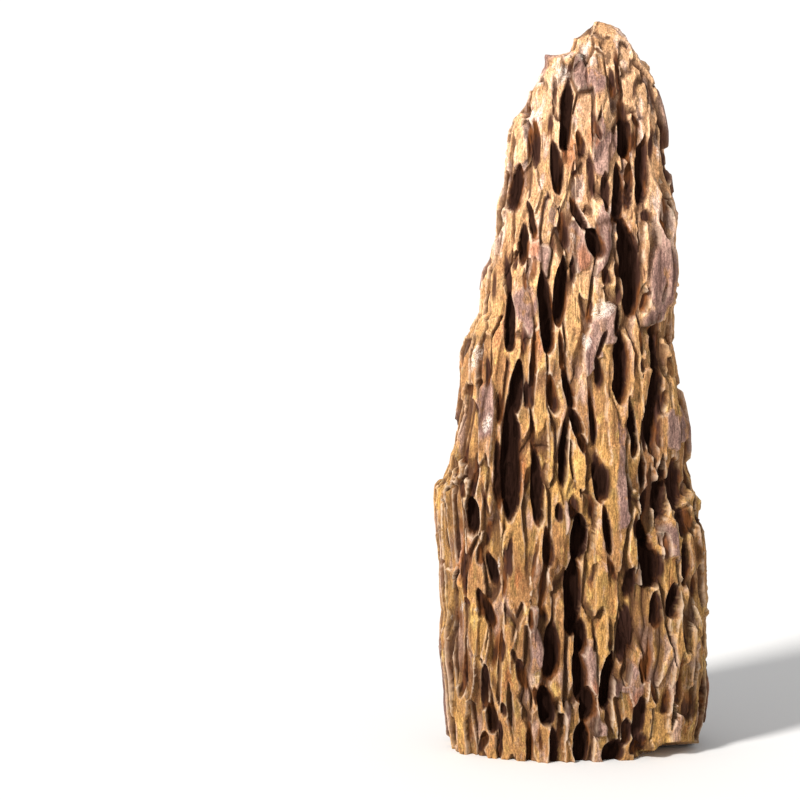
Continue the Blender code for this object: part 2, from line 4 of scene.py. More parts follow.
import bmesh
import bpy
import numpy as np
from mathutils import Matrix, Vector


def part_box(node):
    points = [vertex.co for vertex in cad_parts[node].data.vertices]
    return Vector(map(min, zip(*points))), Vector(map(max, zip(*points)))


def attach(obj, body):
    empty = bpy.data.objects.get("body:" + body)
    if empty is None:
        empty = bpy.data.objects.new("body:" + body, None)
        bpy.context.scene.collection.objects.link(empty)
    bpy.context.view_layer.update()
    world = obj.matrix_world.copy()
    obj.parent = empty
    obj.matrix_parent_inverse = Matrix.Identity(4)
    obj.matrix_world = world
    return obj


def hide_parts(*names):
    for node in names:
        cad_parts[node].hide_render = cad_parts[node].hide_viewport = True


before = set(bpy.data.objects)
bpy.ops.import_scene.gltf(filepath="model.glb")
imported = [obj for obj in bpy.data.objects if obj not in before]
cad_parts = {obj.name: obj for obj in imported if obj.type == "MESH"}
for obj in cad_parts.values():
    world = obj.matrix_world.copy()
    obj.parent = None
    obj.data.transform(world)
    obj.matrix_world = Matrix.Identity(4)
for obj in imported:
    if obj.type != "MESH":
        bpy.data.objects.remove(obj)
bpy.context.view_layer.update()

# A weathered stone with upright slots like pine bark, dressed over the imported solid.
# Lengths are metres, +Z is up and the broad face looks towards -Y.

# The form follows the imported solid's, on a much finer grid. The slots are narrower, steeper and
# more pointed on purpose, and the tip, the recess low on the right and the foot differ a little.
stoneForm = {
    "height": 0.740,
    "baseHalfDepth": 0.084,
    "sectionPower": 2.5,  # 2 is an ellipse, and more is squarer
    "sectionDepth": 0.62,
    "belowBase": 0.008,  # cut off again at the base
    "outlineInset": 0.0055,  # what the cracks and the ribs take off the outline, given back
    "insetEnd": (0.92, 1.0),  # shares of the height between which that dies away
    "pixel": 0.740 / 740,  # how much of the stone one photo pixel spans
    "faceMiddleX": 576,
    "faceBaseY": 761,
    "rows": 900,
    "columns": 780,
    "frontWeight": 1.0,  # how much closer the columns stand on the face
    "frontTurn": (0.25, -0.25),  # where along the depth they draw closer
    "angleSteps": 20001,
    "normalPasses": 12,  # evening of the normals, for rings this far apart
    "normalStep": 0.00134,
    "triangles": 190000,
}

# The slots of the sides and the back, scattered by rule.
scatter = {
    "seed": 41,
    "tries": 6000,
    "width": (0.008, 0.015),
    "length": (0.040, 0.110),
    "lean": 5,  # degrees
    "depthByWidth": 1.7,
    "from": -0.30,  # the normal's y where they start
    "facing": 0.30,  # how much the skin must face as its slot does
    "sideSpacing": 0.72,  # of two slots' widths, across
    "endSpacing": 0.004,
    "noneAbove": (0.88, 0.93),  # shares of the height between which they end
    "placeRows": 560,  # the grid that their places are drawn on
    "placeColumns": 440,
}

# One slot, its walls by its width.
slotShape = {
    "widen": 1.28,  # a slot's mouth by the dark width that shows
    "leftWall": 0.16,
    "rightWall": 0.16,
    "ramp": (0.10, 0.60),  # the least and the most, by turns
    "rampTurn": 0.618,
    "pointedEnd": 1.9,
    "bluntEnd": 4.5,
    "taper": (0.62, 0.42),  # how the width follows those two
    "endDepthPower": 0.4,
    "deepestShare": 0.36,  # of the half width of the section at that height
    "faceTurn": (-0.05, 0.20),  # turns towards -Y between which the face's slots fade out
}

# The ribs between the slots: long cells side by side, some of them hollowed.
ribs = {
    "size": (0.0140, 0.0140, 0.090),
    "step": 0.0065,  # how far one rib can stand behind the next
    "depth": 0.0080,
    "edge": 0.55,
    "hollowed": (0.30, 0.90),  # chance between which a rib is hollowed, not at all and fully
    "hollowTurn": 7,  # turns one chance of a rib into another
    "crackDepth": 0.0090,
    "crackWidth": 0.26,
    "crackPower": 0.7,
    "cracked": (0.45, 0.60),
    "crackTurn": 5,
    "footShare": 0.45,  # how deep a hollow is at its foot, and where along the rib it deepens
    "footSlope": (-0.7, 0.5),
    "leftShare": 0.45,  # how much deeper a hollow is on its left, up to this far from its middle
    "leftReach": 0.6,
    "wholeSkin": 0.12,  # depth left where the old skin is whole
    "backSkin": (0.80, 0.88),  # chance from which a rib away from the face is whole skin
    "backSkinTurn": (-0.4, -0.1),  # the normal's y where that starts
    "patchEdge": (0.95, 1.10),
    "patchPull": (0.7, 0.3),  # how far a patch keeps to whole ribs, across and along
    "seed": 5,
}

# Large plates of the skin, each raised or sunk by chance.
plates = {
    "size": (0.060, 0.060, 0.170),
    "step": 0.0100,
    "wander": 2.5,
    "edgePasses": 6,  # evening of the ledges between them
    "outlineKept": 0.75,  # how much of them is left out where the skin turns to the side
    "outlinePower": 3,
    "swellWidth": 0.03,  # half width of the tip below which they die away
    "seed": 131,
}

# Unevenness of the whole skin: the size of the lumps and how far each layer moves it.
lumps = {
    "swells": (((0.100, 0.100, 0.150), 0.0080), ((0.030, 0.030, 0.070), 0.0024)),
    "across": (
        ((0.022, 0.022, 0.050), 0.0030),
        ((0.007, 0.007, 0.022), 0.0009),
        ((0.003, 0.003, 0.012), 0.0002),
    ),
    "along": (
        ((0.020, 0.020, 0.030), 0.0050),
        ((0.007, 0.007, 0.012), 0.0012),
        ((0.003, 0.003, 0.006), 0.0005),
    ),
    "swellSeed": 91,
    "acrossSeed": 11,
    "alongSeed": 51,
}

# The hollows drift to the left and up as they go in, between these shares of the height.
lean = {"drift": 0.25, "rise": 0.15, "foot": (0.02, 0.08), "tip": (0.82, 0.96)}

# The underside is flat, but broken away on the right.
brokenFoot = {
    "startX": 0.035,  # the lift grows from here
    "endX": 0.105,
    "lift": 0.026,
    "backShare": 0.40,  # of that lift, from the middle of the depth back
    "frontY": -0.060,
    "reach": 0.070,
}

# What the colours tell apart on the skin, by depth in metres and by slope.
maskRange = {
    # hollow: darker towards umber by depth, partly dirt and partly painted shade
    "hollow": (0.004, 0.016),
    # slot and deep: where the inside of the slots is painted dark, partly dirt and partly painted shade,
    # with near black painted shade where they are deepest
    "slot": (0.0020, 0.0080),
    "deep": (0.0060, 0.0150),
    # wall: painted shade on the steep walls of the hollows, darker where the skin turns away from the
    # face
    "wall": (0.0006, 0.0018),
    "wallInFront": 0.3,  # how dark the painted shade on the walls is on the face, where 1 is the back
    "wallTurn": (-0.6, 0.1),  # the normal's y between which the painted shade on the walls grows darker
    # rim: pale edges, partly wear and partly painted highlight
    "rim": (0.0004, 0.0017),
    "rimPasses": 4,  # evening that tells a rim or a crest from what is round it
    # crest: raised parts painted lighter and the ground round them darker, painted highlight and painted
    # shade
    "crestLightAndShade": (-0.0045, 0.0045),
    "crestPasses": 24,
    "spotTurn": 0.2,  # the normal's y from which no lime or rust spot shows
    "depthPasses": 1,  # evening of the depth itself
}

# The random numbers that all the noise is made from.
lattice = {
    "factors": (374761393, 668265263, 1442695041),
    "seedFactor": 40503,
    "mixFactors": (1274126177, 2246822519),
    "chanceSeedStep": 7,
    "layerSeedStep": 10,
    "gain": 1.5,  # brings the noise to about -1 to 1
}

# Outline of the face in photo pixels: y, left edge x, right edge x, from the foot to the tip.
faceOutline = (
    (761, 454, 707), (748, 452, 711), (731, 451, 713), (706, 449, 714), (687, 448, 712),
    (662, 445, 710), (643, 445, 709), (622, 447, 708), (600, 443, 708), (556, 441, 707),
    (527, 438, 705), (505, 437, 702), (492, 438, 694), (478, 446, 692), (468, 451, 690),
    (447, 454, 690), (428, 458, 689), (408, 462, 685), (388, 464, 680), (355, 464, 675),
    (332, 470, 671), (310, 483, 671), (292, 484, 676), (272, 486, 677), (259, 493, 676),
    (242, 496, 674), (224, 501, 677), (211, 501, 676), (190, 506, 671), (152, 507, 665),
    (130, 509, 665), (117, 514, 663), (104, 527, 660), (90, 532, 656), (78, 544, 651),
    (67, 549, 645), (56, 549, 638), (50, 570, 634), (36, 571, 626), (28, 582, 618),
    (21, 592, 604),
)

# Depth of the section by height: share of the height, front and back as shares of the base's.
depthByHeight = (
    (0.00, 0.91, 0.95), (0.05, 0.98, 1.00), (0.19, 1.00, 0.97), (0.23, 0.93, 1.00),
    (0.36, 0.95, 0.90), (0.42, 0.85, 0.93), (0.56, 0.83, 0.82), (0.61, 0.72, 0.80),
    (0.73, 0.70, 0.64), (0.78, 0.58, 0.63), (0.87, 0.53, 0.47), (0.91, 0.42, 0.43),
    (0.96, 0.30, 0.27), (1.00, 0.09, 0.09),
)

# Slots of the face in photo pixels: top x, y, bottom x, y, width, then depth in millimetres.
faceSlots = (
    # the tip
    (566, 72, 562, 150, 12, 18), (612, 40, 617, 92, 5, 9), (606, 60, 611, 95, 7, 9),
    (618, 88, 621, 118, 6, 12), (621, 108, 625, 160, 12, 20), (588, 104, 599, 136, 5, 8),
    (576, 122, 581, 156, 6, 11), (549, 104, 547, 135, 5, 8), (549, 135, 557, 190, 9, 16),
    (532, 112, 534, 166, 6, 11), (631, 105, 639, 128, 6, 10), (647, 130, 640, 200, 11, 17),
    (630, 148, 627, 206, 8, 12), (657, 126, 656, 158, 5, 8), (587, 142, 593, 198, 5, 9),
    (585, 156, 571, 173, 5, 9), (569, 60, 565, 74, 5, 8),
    (528, 118, 528, 160, 5, 8), (553, 72, 554, 104, 4, 7), (593, 48, 596, 70, 3, 5),
    (584, 62, 584, 92, 2, 4), (579, 59, 572, 72, 3, 4), (607, 42, 603, 62, 5, 6),
    (636, 70, 633, 98, 4, 7), (635, 124, 633, 152, 8, 9), (643, 64, 659, 112, 8, 7),
    (663, 108, 663, 150, 6, 7),
    # the shoulders
    (518, 158, 507, 210, 10, 15), (524, 192, 534, 234, 7, 13), (519, 216, 521, 262, 9, 14),
    (503, 248, 508, 300, 6, 11), (509, 286, 507, 349, 11, 20), (542, 260, 546, 347, 10, 20),
    (562, 250, 558, 321, 12, 18), (571, 250, 574, 278, 5, 12), (559, 198, 564, 249, 7, 12),
    (569, 190, 584, 224, 7, 14), (585, 220, 596, 254, 10, 18), (603, 166, 607, 206, 7, 12),
    (616, 158, 619, 218, 9, 18), (621, 205, 633, 314, 16, 25), (616, 232, 622, 258, 6, 9),
    (611, 256, 620, 274, 7, 12), (603, 258, 606, 280, 6, 11), (613, 274, 619, 302, 5, 8),
    (646, 200, 647, 216, 9, 9), (668, 178, 671, 212, 8, 6), (494, 260, 491, 300, 6, 7),
    (524, 260, 526, 283, 4, 7), (513, 248, 513, 264, 4, 7), (552, 232, 554, 248, 4, 6),
    (535, 250, 533, 276, 5, 7), (650, 280, 645, 308, 5, 9), (665, 276, 662, 298, 3, 6),
    (661, 204, 668, 238, 6, 9), (593, 214, 595, 236, 3, 6), (573, 316, 573, 336, 3, 5),
    (613, 206, 613, 228, 3, 6),
    # the upper middle
    (522, 318, 522, 348, 5, 8), (533, 316, 532, 402, 6, 12), (519, 350, 513, 410, 12, 20),
    (508, 385, 508, 515, 14, 24), (526, 374, 527, 404, 6, 12), (549, 366, 555, 410, 6, 13),
    (559, 320, 563, 364, 6, 12), (563, 358, 571, 400, 7, 14), (569, 394, 579, 434, 7, 14),
    (577, 426, 587, 448, 8, 12), (565, 408, 562, 480, 8, 17), (588, 378, 595, 442, 6, 13),
    (607, 320, 597, 352, 6, 9), (596, 346, 600, 384, 7, 13), (620, 320, 622, 400, 12, 19),
    (616, 298, 617, 328, 6, 12), (636, 338, 635, 372, 5, 8), (661, 304, 656, 450, 11, 20),
    (663, 318, 665, 368, 5, 10), (669, 384, 665, 412, 6, 9), (631, 388, 637, 452, 8, 16),
    (481, 348, 485, 387, 5, 10), (470, 398, 476, 410, 6, 8), (590, 293, 589, 314, 5, 10),
    (643, 318, 643, 350, 4, 8), (643, 352, 645, 368, 5, 8), (675, 354, 679, 376, 4, 6),
    (506, 350, 506, 364, 4, 6), (616, 370, 615, 390, 3, 7), (499, 384, 496, 420, 6, 12),
    (530, 404, 533, 446, 5, 11), (650, 392, 649, 448, 5, 11), (666, 410, 665, 442, 4, 8),
    (466, 380, 464, 398, 4, 6), (645, 384, 642, 398, 3, 5),
    # the lower middle
    (475, 450, 471, 492, 6, 11), (470, 486, 469, 535, 12, 20), (464, 442, 463, 464, 5, 8),
    (456, 458, 454, 478, 6, 9), (458, 478, 460, 494, 7, 9), (496, 428, 498, 504, 7, 14),
    (536, 436, 538, 522, 10, 19), (560, 491, 559, 515, 6, 13), (581, 505, 577, 556, 13, 22),
    (575, 546, 570, 634, 15, 25), (592, 485, 590, 514, 5, 11), (605, 496, 610, 548, 7, 15),
    (597, 446, 602, 497, 11, 16), (628, 464, 630, 503, 5, 10), (645, 446, 646, 484, 9, 15),
    (653, 480, 648, 514, 7, 14), (645, 505, 646, 562, 14, 23), (648, 540, 652, 586, 16, 22),
    (668, 446, 665, 519, 9, 17), (683, 450, 682, 504, 14, 12), (686, 498, 687, 534, 11, 11),
    (687, 532, 686, 588, 8, 16), (460, 543, 461, 582, 5, 9), (486, 546, 494, 582, 8, 15),
    (507, 532, 504, 592, 5, 9), (545, 520, 549, 565, 8, 14), (546, 560, 541, 602, 5, 10),
    (675, 578, 674, 615, 10, 16), (659, 586, 659, 627, 7, 15),
    (484, 446, 486, 466, 3, 6), (480, 474, 488, 514, 4, 7), (489, 514, 484, 546, 5, 9),
    (479, 538, 480, 562, 6, 9), (455, 512, 456, 538, 4, 6), (527, 458, 527, 486, 4, 6),
    (512, 524, 510, 574, 6, 9), (531, 542, 526, 572, 3, 6), (537, 526, 532, 576, 4, 7),
    (572, 484, 575, 514, 7, 10), (653, 464, 654, 482, 4, 7), (638, 504, 637, 534, 5, 9),
    (606, 546, 616, 578, 5, 9), (597, 556, 592, 580, 4, 7), (665, 528, 669, 562, 5, 7),
    (693, 498, 695, 532, 4, 7), (699, 538, 704, 560, 4, 6), (697, 564, 698, 602, 6, 9),
    # the foot
    (465, 597, 465, 608, 6, 8), (540, 598, 546, 618, 6, 10), (483, 586, 491, 628, 8, 14),
    (582, 608, 580, 654, 10, 20), (577, 642, 581, 702, 9, 20), (591, 684, 587, 720, 13, 18),
    (585, 714, 583, 764, 13, 20), (552, 610, 551, 678, 10, 17), (545, 677, 549, 723, 14, 22),
    (519, 655, 529, 684, 8, 11), (501, 626, 504, 660, 6, 10), (484, 662, 481, 710, 10, 14),
    (488, 701, 489, 734, 8, 14), (503, 701, 503, 714, 7, 10), (483, 730, 478, 758, 7, 12),
    (531, 718, 530, 766, 6, 12), (555, 720, 556, 766, 8, 14), (613, 644, 608, 708, 12, 20),
    (628, 590, 623, 660, 14, 12), (646, 690, 640, 746, 14, 12), (641, 738, 641, 764, 15, 10),
    (616, 735, 615, 766, 18, 16), (654, 678, 661, 707, 5, 8), (643, 652, 648, 682, 5, 9),
    (672, 686, 669, 724, 6, 9), (682, 648, 683, 710, 7, 9), (697, 686, 696, 746, 17, 7),
    (463, 572, 464, 598, 4, 8), (478, 582, 481, 614, 7, 11), (515, 594, 518, 614, 3, 6),
    (531, 598, 533, 624, 4, 8), (497, 634, 493, 668, 6, 10), (465, 640, 460, 700, 5, 8),
    (449, 606, 456, 636, 4, 6), (493, 666, 496, 694, 4, 6), (513, 640, 519, 662, 4, 7),
    (536, 678, 539, 702, 6, 11), (541, 722, 544, 752, 4, 8), (455, 688, 451, 722, 4, 6),
    (497, 718, 498, 760, 5, 10), (466, 716, 465, 748, 4, 7), (596, 630, 595, 648, 4, 7),
    (610, 630, 612, 646, 4, 7), (634, 562, 629, 592, 10, 14), (654, 632, 650, 684, 5, 7),
    (684, 600, 687, 652, 7, 10), (700, 648, 699, 684, 5, 9), (630, 716, 628, 748, 8, 12),
    (612, 698, 611, 722, 5, 8),
)

# Patches of the face where the old skin is still whole: middle x, y, half width, half length.
skinPatches = (
    (584, 76, 13, 18), (603, 140, 10, 26), (577, 232, 7, 24), (543, 252, 9, 17),
    (606, 228, 7, 26), (664, 270, 9, 32), (594, 268, 8, 14), (526, 294, 11, 20),
    (600, 322, 17, 14), (590, 352, 6, 20), (653, 316, 7, 9), (485, 402, 8, 26),
    (684, 426, 12, 16), (624, 436, 7, 30), (620, 482, 8, 30), (567, 506, 5, 18),
    (672, 538, 9, 22), (536, 642, 8, 24), (590, 664, 7, 20), (630, 682, 14, 22),
    (568, 712, 6, 34), (602, 726, 8, 12), (646, 576, 8, 8),
)

# Pale lime on the face, with painted highlight on lit edges near the tip, in photo pixels: middle x, y,
# half width, half length, lean to the right.
limeAndHighlightSpots = (
    (560, 70, 20, 26, 0.6), (583, 46, 8, 26, 0.3), (600, 306, 16, 16, 0.0), (586, 332, 7, 18, 0.1),
    (488, 418, 8, 18, 0.2), (473, 350, 10, 30, 0.25), (507, 205, 8, 20, 0.2), (650, 92, 5, 44, -0.35),
    (664, 150, 5, 34, -0.1), (456, 612, 5, 16, 0.9), (477, 606, 10, 4, 0.0), (498, 560, 4, 30, 0.1),
)

# Rust red inside some hollows, told in the same way.
rustSpots = (
    (569, 148, 12, 26, 0.0), (582, 252, 8, 20, 0.0), (540, 330, 8, 26, 0.0), (462, 560, 14, 34, 0.0),
    (534, 240, 8, 20, 0.0), (628, 640, 12, 30, 0.0), (600, 690, 10, 30, 0.0), (500, 640, 10, 24, 0.0),
    (655, 490, 8, 26, 0.0), (592, 128, 10, 20, 0.0), (520, 470, 10, 30, 0.0), (640, 700, 12, 24, 0.0),
)
metreInMillimetres = 1000


def smoothStep(low, high, value):
    share = np.clip((value - low) / (high - low), 0.0, 1.0)
    return share * share * (3 - 2 * share)


def signedPower(value, power):
    return np.sign(value) * np.abs(value) ** power


def latticeChance(cell, seed):  # one random number from 0 to 1 for each whole-number point
    first, second = lattice["mixFactors"]
    mixed = sum(place * factor for place, factor in zip(cell, lattice["factors"])) & 0xFFFFFFFF
    mixed = (mixed + seed * lattice["seedFactor"]) & 0xFFFFFFFF
    mixed = ((mixed ^ (mixed >> 13)) * first) & 0xFFFFFFFF
    mixed = ((mixed ^ (mixed >> 15)) * second) & 0xFFFFFFFF
    return ((mixed ^ (mixed >> 16)) & 0xFFFFFF) / 0xFFFFFF


def softNoise(points, size, seed):  # from about -1 to 1, in lumps of that size
    scaled = points / np.array(size)
    whole = np.floor(scaled).astype(np.int64)
    part = scaled - whole
    blend = part ** 3 * (part * (part * 6 - 15) + 10)
    total = np.zeros(points.shape[:-1])
    for step in np.ndindex(2, 2, 2):
        cell = [whole[..., axis] + step[axis] for axis in range(3)]
        weight = lattice["gain"]
        slope = 0.0
        for axis in range(3):
            weight = weight * (blend[..., axis] if step[axis] else 1 - blend[..., axis])
            slope = slope + (latticeChance(cell, seed + axis) * 2 - 1) * (part[..., axis] - step[axis])
        total += weight * slope
    return total


def layeredNoise(points, layers, seed):
    return sum(
        height * softNoise(points, size, seed + lattice["layerSeedStep"] * i)
        for i, (size, height) in enumerate(layers)
    )


# For each point: how far it is inside its cell, its place across and along, the chance of that
# cell and of the next one, and how far it is from the cell's nucleus.
def longCells(points, size, right, seed):
    scaled = points / np.array(size)
    whole = np.floor(scaled).astype(np.int64)
    nearest = np.full(points.shape[:-1], np.inf)
    second = nearest.copy()
    across, along, chance, other = (np.zeros(nearest.shape) for _ in range(4))
    offset = np.zeros(points.shape)
    for step in np.ndindex(3, 3, 3):
        cell = [whole[..., axis] + step[axis] - 1 for axis in range(3)]
        apart = [
            scaled[..., axis] - cell[axis] - latticeChance(cell, seed + axis) for axis in range(3)
        ]
        gap = np.sqrt(apart[0] ** 2 + apart[1] ** 2 + apart[2] ** 2)
        own = latticeChance(cell, seed + lattice["chanceSeedStep"])
        closer = gap < nearest
        other = np.where(closer, chance, np.where(gap < second, own, other))
        second = np.where(closer, nearest, np.minimum(second, gap))
        nearest = np.where(closer, gap, nearest)
        across = np.where(closer, apart[0] * right[..., 0] + apart[1] * right[..., 1], across)
        along = np.where(closer, apart[2], along)
        chance = np.where(closer, own, chance)
        offset[closer] = np.stack(apart, axis=-1)[closer]
    return second - nearest, across, along, chance, other, offset * np.array(size)


def faceX(pixelX):
    return (pixelX - stoneForm["faceMiddleX"]) * stoneForm["pixel"]


def faceZ(pixelY):
    return (stoneForm["faceBaseY"] - pixelY) * stoneForm["pixel"]


def sectionAngles(count, frontWeight):  # shares out one ordinary section, more closely in front
    power = 2 / stoneForm["sectionPower"]
    fine = np.linspace(-math.pi, math.pi, stoneForm["angleSteps"])
    x = signedPower(np.cos(fine), power)
    y = stoneForm["sectionDepth"] * signedPower(np.sin(fine), power)
    closeness = 1 + frontWeight * smoothStep(*stoneForm["frontTurn"], (y[1:] + y[:-1]) / 2)
    walked = np.concatenate([[0.0], np.cumsum(np.hypot(np.diff(x), np.diff(y)) * closeness)])
    return np.interp(np.arange(count) / count * walked[-1], walked, fine)


def bodyGrid(rows, columns, frontWeight):  # rings of points from the base up, before weathering
    form = stoneForm
    outline = np.array(faceOutline, float)
    heights = faceZ(outline[:, 0])
    z = np.linspace(-form["belowBase"], form["height"], rows)
    share = z / form["height"]
    inset = form["outlineInset"] * (1 - smoothStep(*form["insetEnd"], share))
    left = np.interp(z, heights, faceX(outline[:, 1])) - inset
    right = np.interp(z, heights, faceX(outline[:, 2])) + inset
    shares = np.array(depthByHeight)
    front = form["baseHalfDepth"] * np.interp(share, shares[:, 0], shares[:, 1])
    back = form["baseHalfDepth"] * np.interp(share, shares[:, 0], shares[:, 2])

    angle = sectionAngles(columns, frontWeight)
    across = signedPower(np.cos(angle), 2 / form["sectionPower"])
    inward = signedPower(np.sin(angle), 2 / form["sectionPower"])
    grid = np.empty((rows, columns, 3))
    grid[..., 0] = ((left + right) / 2)[:, None] + ((right - left) / 2)[:, None] * across
    grid[..., 1] = np.where(inward < 0, front[:, None] * inward, back[:, None] * inward)
    grid[..., 2] = z[:, None]
    return grid, np.minimum((right - left) / 2, (front + back) / 2)


def outwardNormals(grid):  # evened out from ring to ring over about 3 mm
    step = (grid[-1, 0, 2] - grid[0, 0, 2]) / (len(grid) - 1)
    for _ in range(round(stoneForm["normalPasses"] * (stoneForm["normalStep"] / step) ** 2)):
        padded = np.pad(grid, ((1, 1), (0, 0), (0, 0)), mode="edge")
        grid = (padded[:-2] + 2 * padded[1:-1] + padded[2:]) / 4
    around = np.roll(grid, -1, axis=1) - np.roll(grid, 1, axis=1)
    normal = np.cross(around, np.gradient(grid, axis=0))
    return normal / np.linalg.norm(normal, axis=2, keepdims=True)


def evened(values, passes):
    for _ in range(passes):
        padded = np.pad(values, ((1, 1), (0, 0)), mode="edge")
        values = (padded[:-2] + 2 * values + padded[2:]) / 4
        values = (np.roll(values, 1, axis=1) + 2 * values + np.roll(values, -1, axis=1)) / 4
    return values


# How deep a slot is, 0 to 1: blunt below, pointed above and ramped on the right.
def slotProfile(across, along, width, halfLength, turn):
    shape = slotShape
    least, most = shape["ramp"]
    ramp = least + (most - least) * (turn * shape["rampTurn"] % 1) ** 2
    place = along / halfLength
    end = 1 - np.abs(place) ** np.where(place > 0, shape["pointedEnd"], shape["bluntEnd"])
    end = np.clip(end, 0.0, 1.0)
    half = width / 2 * end ** np.where(place > 0, *shape["taper"])
    left = smoothStep(-half, shape["leftWall"] * width - half, across)
    right = 1 - smoothStep(half - shape["rightWall"] * width, half + ramp * width * end, across)
    return left * right * end ** shape["endDepthPower"]


def faceSlotDepth(grid, normal, wander):
    depth = np.zeros(grid.shape[:2])
    x = grid[..., 0] + wander[0]
    z = grid[..., 2] + wander[1]
    facing = smoothStep(*slotShape["faceTurn"], -normal[..., 1])
    for turn, (topX, topY, bottomX, bottomY, width, deep) in enumerate(faceSlots):
        axis = np.array([faceX(topX) - faceX(bottomX), faceZ(topY) - faceZ(bottomY)])
        halfLength = np.linalg.norm(axis) / 2
        axis /= 2 * halfLength
        nearX = x - (faceX(topX) + faceX(bottomX)) / 2
        nearZ = z - (faceZ(topY) + faceZ(bottomY)) / 2
        along = nearX * axis[0] + nearZ * axis[1]
        across = nearX * axis[1] - nearZ * axis[0]
        wide = slotShape["widen"] * width * stoneForm["pixel"]
        share = slotProfile(across, along, wide, halfLength, turn)
        np.maximum(depth, share * facing * deep / metreInMillimetres, out=depth)
    return depth


def scatteredSlots():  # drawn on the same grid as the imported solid's
    grid, _ = bodyGrid(scatter["placeRows"], scatter["placeColumns"], 0)
    normal = outwardNormals(grid)
    chance = random.Random(scatter["seed"])
    placed = []
    for _ in range(scatter["tries"]):
        row = int(chance.random() * (len(grid) - 1))
        column = int(chance.random() * grid.shape[1])
        width = chance.uniform(*scatter["width"])
        length = chance.uniform(*scatter["length"])
        tilt = math.radians(chance.gauss(0, scatter["lean"]))
        middle = grid[row, column]
        if normal[row, column, 1] < scatter["from"]:
            continue
        clear = all(
            math.hypot(*(middle - other)[:2]) > (width + otherWidth) * scatter["sideSpacing"]
            or abs(middle[2] - other[2]) > (length + otherLength) / 2 + scatter["endSpacing"]
            for other, _, otherWidth, otherLength, _ in placed
        )
        if clear:
            placed.append((middle, normal[row, column], width, length, tilt))
    return placed


def scatteredSlotDepth(grid, normal, wander):
    depth = np.zeros(grid.shape[:2])
    for turn, (middle, out, width, length, tilt) in enumerate(scatteredSlots()):
        flat = np.array([out[0], out[1], 0.0]) / math.hypot(out[0], out[1])
        right = np.array([-flat[1], flat[0], 0.0])
        rows = slice(*np.searchsorted(grid[:, 0, 2], (middle[2] - length, middle[2] + length)))
        apart = grid[rows] - middle
        nearX = apart @ right + wander[0][rows]
        nearZ = apart[..., 2] + wander[1][rows]
        across = nearX * math.cos(tilt) - nearZ * math.sin(tilt)
        along = nearX * math.sin(tilt) + nearZ * math.cos(tilt)
        share = slotProfile(across, along, width, length / 2, turn)
        share = np.where(normal[rows] @ flat > scatter["facing"], share, 0.0)
        depth[rows] = np.maximum(depth[rows], share * width * scatter["depthByWidth"])
    return depth * (1 - smoothStep(*scatter["noneAbove"], grid[..., 2] / stoneForm["height"]))


def wholeSkin(grid, normal, wander, chance, offset):  # where the old skin is still whole, 0 to 1
    turned = smoothStep(*ribs["backSkinTurn"], normal[..., 1])
    skin = smoothStep(*ribs["backSkin"], chance) * turned
    nearX = grid[..., 0] + wander[0] - ribs["patchPull"][0] * offset[..., 0]
    nearZ = grid[..., 2] + wander[1] - ribs["patchPull"][1] * offset[..., 2]
    for patchX, patchY, halfAcross, halfAlong in skinPatches:
        near = np.hypot(
            (nearX - faceX(patchX)) / (halfAcross * stoneForm["pixel"]),
            (nearZ - faceZ(patchY)) / (halfAlong * stoneForm["pixel"]),
        )
        inside = np.where(normal[..., 1] < 0, 1 - smoothStep(*ribs["patchEdge"], near), 0.0)
        skin = np.maximum(skin, inside)
    return skin


def ribDepth(grid, normal, wander):  # ribs side by side, some hollowed, with cracks between them
    right = np.stack([-normal[..., 1], normal[..., 0]], axis=-1)
    moved = grid + np.stack([wander[0], wander[0], wander[1]], axis=-1)
    cells = longCells(moved, ribs["size"], right, ribs["seed"])
    inside, across, along, chance, other, offset = cells
    hollow = np.clip(inside / ribs["edge"], 0.0, 1.0)
    hollow *= (2 - hollow) * smoothStep(*ribs["hollowed"], chance * ribs["hollowTurn"] % 1)
    slope = ribs["footShare"] + (1 - ribs["footShare"]) * smoothStep(*ribs["footSlope"], along)
    slope *= 1 - ribs["leftShare"] * np.clip(across, -ribs["leftReach"], ribs["leftReach"])
    crack = np.clip(1 - inside / ribs["crackWidth"], 0.0, 1.0) ** ribs["crackPower"]
    crack *= smoothStep(*ribs["cracked"], (chance + other) * ribs["crackTurn"] % 1)
    depth = ribs["step"] * chance + ribs["depth"] * hollow * slope
    depth = depth + ribs["crackDepth"] * crack
    skin = wholeSkin(grid, normal, wander, chance, offset)
    return depth * (1 - (1 - ribs["wholeSkin"]) * skin), skin, crack


def swellHeight(grid, normal, wander, halfWidth):
    right = np.zeros((*grid.shape[:2], 2))
    moved = grid + plates["wander"] * np.stack([wander[0], wander[0], wander[1]], axis=-1)
    chance = longCells(moved, plates["size"], right, plates["seed"])[3]
    height = plates["step"] * (0.5 - evened(chance, plates["edgePasses"]))
    height += layeredNoise(grid, lumps["swells"], lumps["swellSeed"])
    height *= smoothStep(0.0, plates["swellWidth"], halfWidth)[:, None]
    sideways = np.abs(normal[..., 0]) ** plates["outlinePower"]
    return height * (1 - plates["outlineKept"] * sideways)


def spotMask(grid, normal, wander, spots):  # 1 in the middle of a spot and 0 at its rim
    mask = np.zeros(grid.shape[:2])
    inFront = normal[..., 1] < maskRange["spotTurn"]
    for spotX, spotY, halfAcross, halfAlong, tilt in spots:
        nearZ = grid[..., 2] + wander[1] - faceZ(spotY)
        nearX = grid[..., 0] + wander[0] - faceX(spotX) - tilt * nearZ
        near = np.hypot(
            nearX / (halfAcross * stoneForm["pixel"]),
            nearZ / (halfAlong * stoneForm["pixel"]),
        )
        mask = np.maximum(mask, np.where(inFront, np.clip(1 - near, 0.0, 1.0), 0.0))
    return mask


